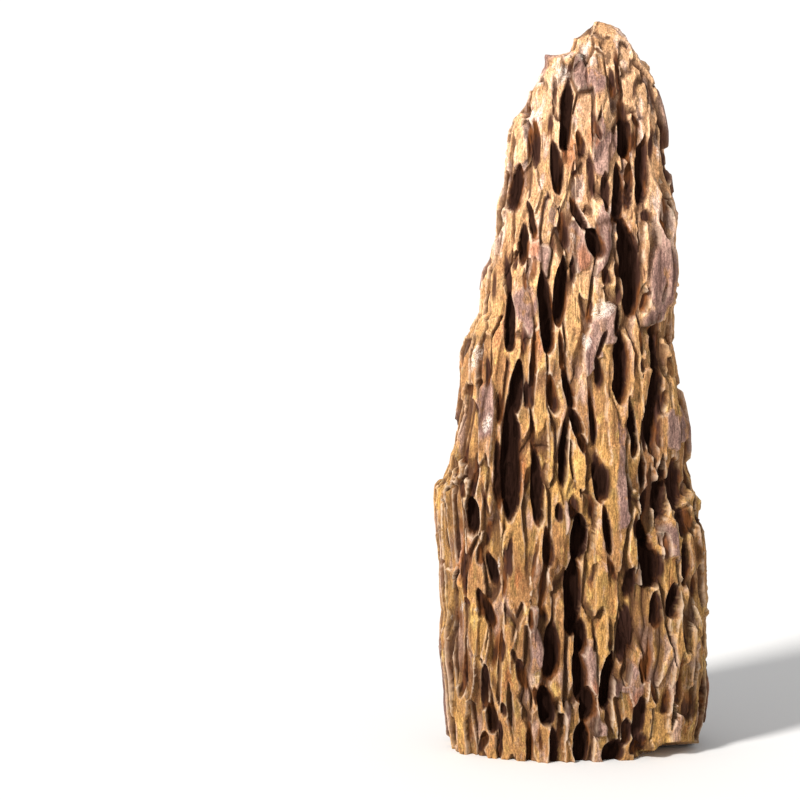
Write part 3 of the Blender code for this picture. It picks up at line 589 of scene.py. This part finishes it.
def skinMasks(grid, normal, wander, sharp, slots, skin, crack):
    depth = evened(sharp, maskRange["depthPasses"])
    aside = (np.roll(depth, -1, axis=1) - np.roll(depth, 1, axis=1)) / 2
    slope = np.hypot(np.gradient(depth, axis=0), aside)
    turned = smoothStep(*maskRange["wallTurn"], normal[..., 1])
    wall = smoothStep(*maskRange["wall"], slope)
    wall = wall * (maskRange["wallInFront"] + (1 - maskRange["wallInFront"]) * turned)
    edge = evened(sharp, maskRange["rimPasses"]) - sharp
    return {
        "hollow": smoothStep(*maskRange["hollow"], depth),
        "slot": smoothStep(*maskRange["slot"], slots),
        "deep": smoothStep(*maskRange["deep"], slots),
        "crack": crack,
        "skin": skin,
        "wall": wall,
        "rim": smoothStep(*maskRange["rim"], edge) * (1 - wall),
        "crestLightAndShade": smoothStep(*maskRange["crestLightAndShade"], evened(sharp, maskRange["crestPasses"]) - sharp),
        "limeAndHighlight": spotMask(grid, normal, wander, limeAndHighlightSpots),
        "glow": spotMask(grid, normal, wander, rustSpots),
    }


def weatheredGrid():  # the skin's points, and the masks that its colours follow
    form = stoneForm
    grid, halfWidth = bodyGrid(form["rows"], form["columns"], form["frontWeight"])
    normal = outwardNormals(grid)
    wander = (
        layeredNoise(grid, lumps["across"], lumps["acrossSeed"]),
        layeredNoise(grid, lumps["along"], lumps["alongSeed"]),
    )
    depth, skin, crack = ribDepth(grid, normal, wander)
    slots = faceSlotDepth(grid, normal, wander)
    slots = np.maximum(slots, scatteredSlotDepth(grid, normal, wander))
    deepest = slotShape["deepestShare"] * halfWidth[:, None]
    sharp = deepest * np.tanh(np.maximum(depth, slots) / deepest)
    depth = evened(sharp, maskRange["depthPasses"])

    height = grid[..., 2] / form["height"]
    offBase = smoothStep(*lean["foot"], height)
    offTip = 1 - smoothStep(*lean["tip"], height)
    swell = swellHeight(grid, normal, wander, halfWidth)
    inward = normal * (1, 1, 0) + normal * (0, 0, 1) * offBase[..., None]
    left = np.cross(normal, (0.0, 0.0, 1.0))
    drift = lean["drift"] * depth * offTip
    result = grid - inward * (depth - swell)[..., None] + left * drift[..., None]
    result[..., 2] += lean["rise"] * depth * offBase * offTip

    foot = brokenFoot
    lift = foot["lift"] * smoothStep(foot["startX"], foot["endX"], result[..., 0])
    inFront = smoothStep(0.0, -foot["frontY"], -result[..., 1])
    lift = lift * (foot["backShare"] + (1 - foot["backShare"]) * inFront)
    result[..., 2] += lift * (1 - smoothStep(0.0, foot["reach"], grid[..., 2]))
    return result, skinMasks(grid, normal, wander, sharp, slots, skin, crack)


def closedMesh(name, grid, masks):  # the rings joined into one skin, closed at the foot and the tip
    rows, columns = grid.shape[:2]
    lower = np.arange(rows - 1)[:, None] * columns + np.arange(columns)[None, :]
    following = np.arange(rows - 1)[:, None] * columns + (np.arange(columns) + 1)[None, :] % columns
    quads = np.stack([lower, following, following + columns, lower + columns], axis=-1).reshape(-1, 4)
    foot = rows * columns
    tip = foot + 1
    corner = np.arange(columns)
    nextCorner = (corner + 1) % columns
    top = (rows - 1) * columns
    base = np.stack([nextCorner, corner, np.full(columns, foot)], axis=-1)
    cap = np.stack([top + corner, top + nextCorner, np.full(columns, tip)], axis=-1)
    points = np.concatenate([grid.reshape(-1, 3), [grid[0].mean(axis=0)], [grid[-1].mean(axis=0)]])
    mesh = bpy.data.meshes.new(name)
    mesh.from_pydata(points.tolist(), [], quads.tolist() + base.tolist() + cap.tolist())
    for key, values in masks.items():
        layer = mesh.attributes.new(key, "FLOAT", "POINT")
        ends = [values[0].mean(), values[-1].mean()]
        layer.data.foreach_set("value", np.concatenate([values.reshape(-1), ends]).astype(np.float32))
    return mesh


# Fine relief that the nodes below raise on the skin, by the names of the tree's inputs.
fineRelief = {
    "Fibre Size": 0.0032,  # metres
    "Fibre Stretch": 11.0,
    "Fibre Height": 0.0007,
    "Chip Size": 0.0060,
    "Chip Stretch": 2.5,
    "Chip Height": 0.0009,
    "Seed": 3.0,
}
reliefDetail = {"Fibre": 2.0, "Chip": 3.0}
reliefGain = 2.0  # the noise swings by half its height each way


def link(tree, source, target):
    tree.links.new(source, target)


def mathNode(tree, operation, *values):
    node = tree.nodes.new("ShaderNodeMath")
    node.operation = operation
    for i, value in enumerate(values):
        if isinstance(value, (int, float)):
            node.inputs[i].default_value = value
        else:
            link(tree, value, node.inputs[i])
    return node.outputs[0]


def product(tree, first, second):
    return mathNode(tree, "MULTIPLY", first, second)


def stretchedPlace(tree, place, stretch):
    squeeze = tree.nodes.new("ShaderNodeCombineXYZ")
    squeeze.inputs[0].default_value = 1
    squeeze.inputs[1].default_value = 1
    link(tree, mathNode(tree, "DIVIDE", 1.0, stretch), squeeze.inputs[2])
    scaled = tree.nodes.new("ShaderNodeVectorMath")
    scaled.operation = "MULTIPLY"
    link(tree, place, scaled.inputs[0])
    link(tree, squeeze.outputs[0], scaled.inputs[1])
    return scaled.outputs[0]


def reliefRise(tree, ins, place, kind):  # how far one kind of relief stands out at each point
    noise = tree.nodes.new("ShaderNodeTexNoise")
    noise.noise_dimensions = "4D"
    noise.inputs["Detail"].default_value = reliefDetail[kind]
    link(tree, stretchedPlace(tree, place, ins[kind + " Stretch"]), noise.inputs["Vector"])
    link(tree, ins["Seed"], noise.inputs["W"])
    link(tree, mathNode(tree, "DIVIDE", 1.0, ins[kind + " Size"]), noise.inputs["Scale"])
    centred = mathNode(tree, "SUBTRACT", noise.outputs[0], 0.5)
    return product(tree, centred, ins[kind + " Height"])


def reliefTree():
    tree = bpy.data.node_groups.new("fibreRelief", "GeometryNodeTree")
    face = tree.interface
    face.new_socket("Geometry", in_out="INPUT", socket_type="NodeSocketGeometry")
    for name in fineRelief:
        face.new_socket(name, in_out="INPUT", socket_type="NodeSocketFloat")
    face.new_socket("Material", in_out="INPUT", socket_type="NodeSocketMaterial")
    face.new_socket("Geometry", in_out="OUTPUT", socket_type="NodeSocketGeometry")
    ins = tree.nodes.new("NodeGroupInput").outputs
    outs = tree.nodes.new("NodeGroupOutput").inputs

    place = tree.nodes.new("GeometryNodeInputPosition").outputs[0]
    fibreRise, chipRise = (reliefRise(tree, ins, place, kind) for kind in reliefDetail)
    push = tree.nodes.new("ShaderNodeVectorMath")
    push.operation = "SCALE"
    link(tree, tree.nodes.new("GeometryNodeInputNormal").outputs[0], push.inputs[0])
    rise = product(tree, mathNode(tree, "ADD", fibreRise, chipRise), reliefGain)
    link(tree, rise, push.inputs["Scale"])
    moved = tree.nodes.new("GeometryNodeSetPosition")
    link(tree, ins["Geometry"], moved.inputs["Geometry"])
    link(tree, push.outputs[0], moved.inputs["Offset"])

    plain = tree.nodes.new("GeometryNodeRealizeInstances")
    coloured = tree.nodes.new("GeometryNodeSetMaterial")
    link(tree, moved.outputs[0], plain.inputs[0])
    link(tree, plain.outputs[0], coloured.inputs["Geometry"])
    link(tree, ins["Material"], coloured.inputs["Material"])
    link(tree, coloured.outputs[0], outs[0])
    return tree


def addRelief(piece, material):
    tree = reliefTree()
    nodes = piece.modifiers.new("relief", "NODES")
    nodes.node_group = tree
    sockets = {item.name: item.identifier for item in tree.interface.items_tree if item.in_out == "INPUT"}
    for name, value in fineRelief.items():
        nodes[sockets[name]] = value
    nodes[sockets["Material"]] = material


def plainMesh(piece):  # the evaluated piece as a mesh of its own
    evaluated = piece.evaluated_get(bpy.context.evaluated_depsgraph_get())
    return bpy.data.meshes.new_from_object(evaluated)


def cutFlatBelow(mesh):  # everything below the base goes, and one flat face closes the cut
    form = bmesh.new()
    form.from_mesh(mesh)
    bmesh.ops.bisect_plane(
        form,
        geom=[*form.verts, *form.edges, *form.faces],
        plane_co=(0, 0, 0),
        plane_no=(0, 0, 1),
        clear_inner=True,
    )
    rim = [edge for edge in form.edges if edge.is_boundary]
    filled = bmesh.ops.holes_fill(form, edges=rim, sides=0)["faces"]
    bmesh.ops.triangulate(form, faces=filled)
    bmesh.ops.recalc_face_normals(form, faces=form.faces)
    form.to_mesh(mesh)
    form.free()


# Colours of the stone, linear, and how strongly some of them show.
stoneColours = {
    "gold": (0.56, 0.300, 0.095),
    "yellow": (0.63, 0.385, 0.120),
    "ochre": (0.40, 0.195, 0.075),
    "olive": (0.30, 0.185, 0.060),
    "rust": (0.42, 0.135, 0.045),
    "umber": (0.150, 0.062, 0.028),
    "tan": (0.68, 0.405, 0.235),
    "pink": (0.56, 0.355, 0.270),
    "palePink": (0.74, 0.53, 0.43),
    "skinMauve": (0.25, 0.140, 0.115),
    "skinPink": (0.42, 0.255, 0.200),
    # painted shade on the steep walls
    "wallBrown": (0.120, 0.052, 0.026),
    # the inside of the slots: dark brown that is partly dirt and partly painted shade, and near black
    # painted shade where they are deepest
    "slotDirtAndShade": (0.056, 0.0250, 0.0180),
    "slotRed": (0.165, 0.058, 0.018),
    "slotDeepShade": (0.0150, 0.0066, 0.0045),
    "crackDark": (0.045, 0.018, 0.011),
    # pale rims, partly wear and partly painted highlight
    "rimWearAndHighlight": (0.84, 0.64, 0.47),
    # pale lime, and painted highlight on lit edges near the tip
    "limeAndHighlightWhite": (0.80, 0.70, 0.62),
    # how far the hollows are darkened towards umber, partly dirt and partly painted shade
    "hollowDirtAndShadeShare": 0.44,
    "wallShare": 0.70,
    "limeSpread": 2.2,
    "bumpDistance": 0.0014,
    "bumpStrength": 0.7,
}

# Noise that the colours follow: scale, upward stretch, detail, roughness and offset.
stoneNoise = {
    "mottle": (34, 2.4, 4, 0.6, 0.0),
    "patches": (15, 1.6, 3, 0.55, 3.1),
    "blotch": (62, 2.0, 4, 0.65, 9.4),
    "tint": (44, 3.0, 4, 0.65, 12.6),
    "fibre": (330, 13, 4, 0.62, 1.7),
    "fineFibre": (700, 6, 3, 0.65, 5.2),
    "grain": (780, 1.6, 3, 0.75, 7.7),
    "scratch": (210, 24, 2, 0.55, 15.3),
}

# The noise, mask or height between two values, and the share or shade at each of them.
stoneTones = {
    "gold": (0.40, 0.60, 0.0, 1.0),
    "yellow": (0.54, 0.68, 0.0, 1.0),
    "olive": (0.46, 0.34, 0.0, 0.75),
    "pink": (0.53, 0.66, 0.0, 0.85),
    "rust": (0.42, 0.32, 0.0, 0.65),
    "umber": (0.54, 0.72, 0.0, 0.85),
    "tanHeight": (0.28, 0.66, 0.0, 0.58),
    "tanMottle": (0.35, 0.60, 0.5, 1.5),
    "paleHeight": (0.42, 0.60, 0.0, 1.0),
    "paleTint": (0.50, 0.62, 0.0, 0.95),
    "skinPink": (0.42, 0.60, 0.0, 1.0),
    "skinOchre": (0.56, 0.66, 0.0, 0.7),
    "skinTint": (0.30, 0.45, 0.5, 1.0),
    "glow": (0.1, 0.6, 0.0, 0.6),
    "fibreShade": (0.34, 0.62, 0.80, 1.10),
    "fineShade": (0.32, 0.68, 0.62, 1.34),
    "grainShade": (0.32, 0.68, 0.62, 1.36),
    "crestShade": (0.20, 0.85, 0.72, 1.12),
    "scratch": (0.66, 0.72, 0.0, 0.75),
    "rimPatches": (0.38, 0.58, 0.30, 1.0),
    "crackFibre": (0.3, 0.7, 1.0, 0.80),
    "slotRed": (0.46, 0.60, 0.0, 1.0),
    "slotLines": (0.32, 0.66, 0.60, 1.50),
    "limeAndHighlight": (1.45, 1.95, 0.0, 0.8),
    "limeGrain": (0.40, 0.56, 0.0, 1.0),
    "heightShade": (0.05, 0.62, 0.79, 1.22),
    "roughness": (0.3, 0.7, 0.88, 0.78),
    "shine": (0.0, 0.6, 0.12, 0.0),
    "scratchRelief": (0.64, 0.72, 0.0, -0.5),
}
bumpWeights = {"fibre": 0.34, "fineFibre": 0.24, "grain": 0.34}
mixInputs = (0, 6, 7)  # of a Mix node: the share and both colours


def noiseNode(tree, coords, kind):
    scale, stretch, detail, rough, offset = stoneNoise[kind]
    mapping = tree.nodes.new("ShaderNodeMapping")
    mapping.inputs["Scale"].default_value = (1, 1, 1 / stretch)
    mapping.inputs["Location"].default_value = (offset, offset, offset)
    link(tree, coords, mapping.inputs["Vector"])
    noise = tree.nodes.new("ShaderNodeTexNoise")
    noise.inputs["Scale"].default_value = scale
    noise.inputs["Detail"].default_value = detail
    noise.inputs["Roughness"].default_value = rough
    link(tree, mapping.outputs[0], noise.inputs["Vector"])
    return noise.outputs[0]


def toneNode(tree, value, tone):
    node = tree.nodes.new("ShaderNodeMapRange")
    node.interpolation_type = "SMOOTHSTEP"
    link(tree, value, node.inputs["Value"])
    for name, limit in zip(("From Min", "From Max", "To Min", "To Max"), stoneTones[tone]):
        node.inputs[name].default_value = limit
    return node.outputs[0]


def mixColour(tree, share, first, second, blend="MIX"):
    node = tree.nodes.new("ShaderNodeMix")
    node.data_type = "RGBA"
    node.blend_type = blend
    for place, value in zip(mixInputs, (share, first, second)):
        socket = node.inputs[place]
        if isinstance(value, (int, float)):
            socket.default_value = value
        elif isinstance(value, tuple):
            socket.default_value = (*value, 1.0)
        else:
            link(tree, value, socket)
    return node.outputs[2]


def maskNode(tree, name):
    node = tree.nodes.new("ShaderNodeAttribute")
    node.attribute_name = name
    return node.outputs["Fac"]


def shadedColour(tree, base, value, tone):  # the colour made lighter or darker by a tone
    grey = tree.nodes.new("ShaderNodeCombineColor")
    shade = toneNode(tree, value, tone)
    for socket in grey.inputs[:3]:
        link(tree, shade, socket)
    return mixColour(tree, 1.0, base, grey.outputs[0], "MULTIPLY")


def openColour(tree, noise, height):  # ochre stone, paler and pinker towards the tip
    colours = stoneColours
    base = mixColour(tree, toneNode(tree, noise["mottle"], "gold"), colours["ochre"], colours["gold"])
    sources = {"yellow": "blotch", "olive": "blotch", "pink": "tint", "rust": "tint", "umber": "patches"}
    for name, source in sources.items():
        base = mixColour(tree, toneNode(tree, noise[source], name), base, colours[name])
    upper = toneNode(tree, height, "tanHeight")
    tan = product(tree, upper, toneNode(tree, noise["mottle"], "tanMottle"))
    base = mixColour(tree, tan, base, colours["tan"])
    upper = toneNode(tree, height, "paleHeight")
    pale = product(tree, upper, toneNode(tree, noise["tint"], "paleTint"))
    return mixColour(tree, pale, base, colours["palePink"])


def withOldSkin(tree, noise, base):
    colours = stoneColours
    pinker = toneNode(tree, noise["mottle"], "skinPink")
    skin = mixColour(tree, pinker, colours["skinMauve"], colours["skinPink"])
    skin = mixColour(tree, toneNode(tree, noise["blotch"], "skinOchre"), skin, colours["ochre"])
    share = product(tree, maskNode(tree, "skin"), toneNode(tree, noise["tint"], "skinTint"))
    base = mixColour(tree, share, base, skin)
    return mixColour(tree, toneNode(tree, maskNode(tree, "glow"), "glow"), base, colours["rust"])


def withEdges(tree, noise, base):  # scratches, pale rims (partly wear, partly painted highlight), cracks, darker hollows (partly dirt, partly painted shade) and painted shade on the walls of the hollows
    colours = stoneColours
    base = mixColour(tree, toneNode(tree, noise["scratch"], "scratch"), base, colours["crackDark"])
    # pale cream on rims and edges: partly wear, partly painted highlight
    rim = product(tree, maskNode(tree, "rim"), toneNode(tree, noise["patches"], "rimPatches"))
    base = mixColour(tree, rim, base, colours["rimWearAndHighlight"])
    crack = product(tree, maskNode(tree, "crack"), toneNode(tree, noise["fibre"], "crackFibre"))
    base = mixColour(tree, crack, base, colours["crackDark"])
    # the hollows darkened towards umber: partly dirt, partly painted shade
    hollow = product(tree, maskNode(tree, "hollow"), colours["hollowDirtAndShadeShare"])
    base = mixColour(tree, hollow, base, colours["umber"])
    # painted shade on the steep walls
    wall = product(tree, maskNode(tree, "wall"), colours["wallShare"])
    return mixColour(tree, wall, base, colours["wallBrown"])


# Paints the inside of the slots dark: partly dirt, partly painted shade, and near black painted shade
# where they are deepest.
def withSlots(tree, noise, base):
    colours = stoneColours
    redder = toneNode(tree, noise["tint"], "slotRed")
    inside = mixColour(tree, redder, colours["slotDirtAndShade"], colours["slotRed"])
    inside = mixColour(tree, maskNode(tree, "deep"), inside, colours["slotDeepShade"])
    inside = shadedColour(tree, inside, noise["fibre"], "slotLines")
    return mixColour(tree, maskNode(tree, "slot"), base, inside)


# pale lime, and painted highlight on lit edges near the tip
def withLimeAndHighlight(tree, noise, base):
    spread = product(tree, noise["blotch"], stoneColours["limeSpread"])
    speckled = mathNode(tree, "ADD", maskNode(tree, "limeAndHighlight"), spread)
    grainy = toneNode(tree, noise["grain"], "limeGrain")
    share = product(tree, toneNode(tree, speckled, "limeAndHighlight"), grainy)
    share = product(tree, share, mathNode(tree, "SUBTRACT", 1.0, maskNode(tree, "slot")))
    return mixColour(tree, share, base, stoneColours["limeAndHighlightWhite"])


def fineBump(tree, noise):
    relief = toneNode(tree, noise["scratch"], "scratchRelief")
    for name, weight in bumpWeights.items():
        relief = mathNode(tree, "ADD", relief, product(tree, noise[name], weight))
    bump = tree.nodes.new("ShaderNodeBump")
    bump.inputs["Strength"].default_value = stoneColours["bumpStrength"]
    bump.inputs["Distance"].default_value = stoneColours["bumpDistance"]
    link(tree, relief, bump.inputs["Height"])
    return bump.outputs[0]


def stoneMaterial():
    material = bpy.data.materials.new("weatheredStone")
    material.use_nodes = True
    tree = material.node_tree
    shader = tree.nodes["Principled BSDF"]
    coords = tree.nodes.new("ShaderNodeTexCoord").outputs["Object"]
    parts = tree.nodes.new("ShaderNodeSeparateXYZ")
    link(tree, coords, parts.inputs[0])
    height = parts.outputs[2]
    noise = {kind: noiseNode(tree, coords, kind) for kind in stoneNoise}

    base = withOldSkin(tree, noise, openColour(tree, noise, height))
    base = shadedColour(tree, base, noise["fibre"], "fibreShade")
    base = shadedColour(tree, base, noise["fineFibre"], "fineShade")
    base = shadedColour(tree, base, noise["grain"], "grainShade")
    # painted highlight on the crests and painted shade round them
    base = shadedColour(tree, base, maskNode(tree, "crestLightAndShade"), "crestShade")
    base = withSlots(tree, noise, withEdges(tree, noise, base))
    base = shadedColour(tree, withLimeAndHighlight(tree, noise, base), height, "heightShade")
    link(tree, base, shader.inputs["Base Color"])
    link(tree, toneNode(tree, noise["fibre"], "roughness"), shader.inputs["Roughness"])
    shine = toneNode(tree, maskNode(tree, "slot"), "shine")
    link(tree, shine, shader.inputs["Specular IOR Level"])
    link(tree, fineBump(tree, noise), shader.inputs["Normal"])
    return material


def makeStone():
    print("stone: shaping the skin")
    grid, masks = weatheredGrid()
    corners = grid.reshape(-1, 3)
    low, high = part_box("stone")
    middle = (corners.min(axis=0) + corners.max(axis=0)) / 2
    grid[..., 0] += (low[0] + high[0]) / 2 - middle[0]
    grid[..., 1] += (low[1] + high[1]) / 2 - middle[1]
    skin = bpy.data.objects.new("skin", closedMesh("skin", grid, masks))
    bpy.context.scene.collection.objects.link(skin)
    print("stone: raising the fibres")
    addRelief(skin, stoneMaterial())
    print("stone: thinning the mesh")
    thin = skin.modifiers.new("thin", "DECIMATE")
    thin.ratio = stoneForm["triangles"] / (2 * len(skin.data.polygons))  # two triangles a face
    mesh = plainMesh(skin)
    bpy.data.objects.remove(skin)
    mesh.name = "barkStone"
    cutFlatBelow(mesh)
    mesh.shade_smooth()
    stone = bpy.data.objects.new("barkStone", mesh)
    bpy.context.scene.collection.objects.link(stone)
    print("stone:", len(mesh.polygons), "faces")
    return stone


# A pale floor under soft light.
studio = {
    "floorColour": (0.86, 0.86, 0.86),
    "floorRoughness": 0.9,
    "floorSize": 80.0,
    "worldColour": (1.0, 1.0, 1.0),
    "worldStrength": 0.55,
    "sunHeading": (0.95, 1.0, -0.85),
    "sunWidth": 9,  # degrees
    "sunPower": 4.4,
    "sunColour": (1.0, 0.97, 0.93),
}


def makeFloor():
    mesh = bpy.data.meshes.new("floor")
    form = bmesh.new()
    bmesh.ops.create_grid(form, x_segments=1, y_segments=1, size=studio["floorSize"] / 2)
    form.to_mesh(mesh)
    form.free()
    floor = bpy.data.objects.new("floor", mesh)
    bpy.context.scene.collection.objects.link(floor)
    material = bpy.data.materials.new("paleFloor")
    material.use_nodes = True
    shader = material.node_tree.nodes["Principled BSDF"]
    shader.inputs["Base Color"].default_value = (*studio["floorColour"], 1.0)
    shader.inputs["Roughness"].default_value = studio["floorRoughness"]
    mesh.materials.append(material)


def makeLights():
    world = bpy.data.worlds.new("studio")
    bpy.context.scene.world = world
    world.use_nodes = True
    background = world.node_tree.nodes["Background"]
    background.inputs["Color"].default_value = (*studio["worldColour"], 1.0)
    background.inputs["Strength"].default_value = studio["worldStrength"]
    sun = bpy.data.lights.new("sun", "SUN")
    sun.angle = math.radians(studio["sunWidth"])
    sun.energy = studio["sunPower"]
    sun.color = studio["sunColour"]
    lamp = bpy.data.objects.new("sun", sun)
    bpy.context.scene.collection.objects.link(lamp)
    lamp.rotation_euler = Vector(studio["sunHeading"]).to_track_quat("-Z", "Y").to_euler()


# The photograph's viewing angle.
camera = {
    "distance": 3.6,
    "elevation": 9,  # degrees
    "aim": (-0.176, 0.0, 0.3583),
    "width": 0.8097,  # of what the picture spans at the stone
    "sensor": 36,
}


def makeCamera():
    lens = bpy.data.cameras.new("camera")
    lens.sensor_width = camera["sensor"]
    lens.lens = camera["sensor"] * camera["distance"] / camera["width"]
    eye = bpy.data.objects.new("camera", lens)
    bpy.context.scene.collection.objects.link(eye)
    bpy.context.scene.camera = eye
    rise = math.radians(camera["elevation"])
    aim = Vector(camera["aim"])
    eye.location = aim + camera["distance"] * Vector((0, -math.cos(rise), math.sin(rise)))
    eye.rotation_euler = (aim - eye.location).to_track_quat("-Z", "Y").to_euler()


makeCamera()
makeFloor()
makeLights()
barkStone = makeStone()
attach(barkStone, "root")
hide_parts("stone")
bpy.context.scene.view_settings.view_transform = "Standard"
